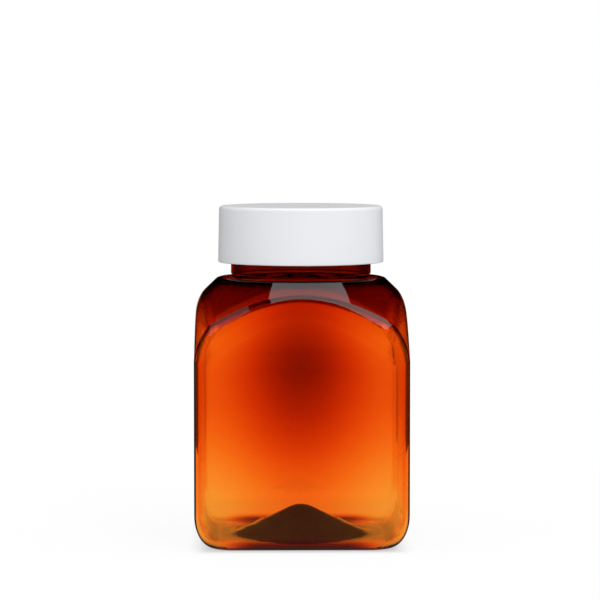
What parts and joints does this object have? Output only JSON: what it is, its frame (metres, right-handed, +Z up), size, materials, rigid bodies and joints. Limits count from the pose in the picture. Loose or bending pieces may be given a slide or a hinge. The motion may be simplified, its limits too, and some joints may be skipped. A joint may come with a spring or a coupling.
{
  "type": "square media bottle",
  "caption": "Square see-through amber bottle with a wide round neck, a pushed-up base and a plain white screw cap over a foam liner.",
  "frame": {"origin": "centre of the standing face, on the surface that the bottle stands on", "axes": "+Z up the bottle's axis to the cap; the flat panels face -Y, +X, +Y and -X"},
  "size_m": [0.051, 0.051, 0.081],
  "materials": {
    "amber_plastic": "see-through amber polyester, high gloss inside and out",
    "white_plastic": "smooth white polypropylene with a soft shine",
    "liner_foam": "closed-cell foam with a fine skin"
  },
  "bodies": {
    "bottle": {"bottle": "amber_plastic"},
    "liner": {"cap_liner": "liner_foam"},
    "cap": {"cap": "white_plastic"}
  },
  "joints": [
    {"name": "cap_lift", "type": "slide", "parent": "bottle", "child": "liner", "axis": [0, 0, 1], "range_m": [0, 0.0145]},
    {"name": "cap_turn", "type": "hinge", "parent": "liner", "child": "cap", "pos_m": [0, 0, 0.0795], "axis": [0, 0, 1], "range_deg": [0, 1200]}
  ],
  "couplings": [
    {"joint": "cap_lift", "follows": "cap_turn", "m_per_rad": 0.00067322}
  ]
}
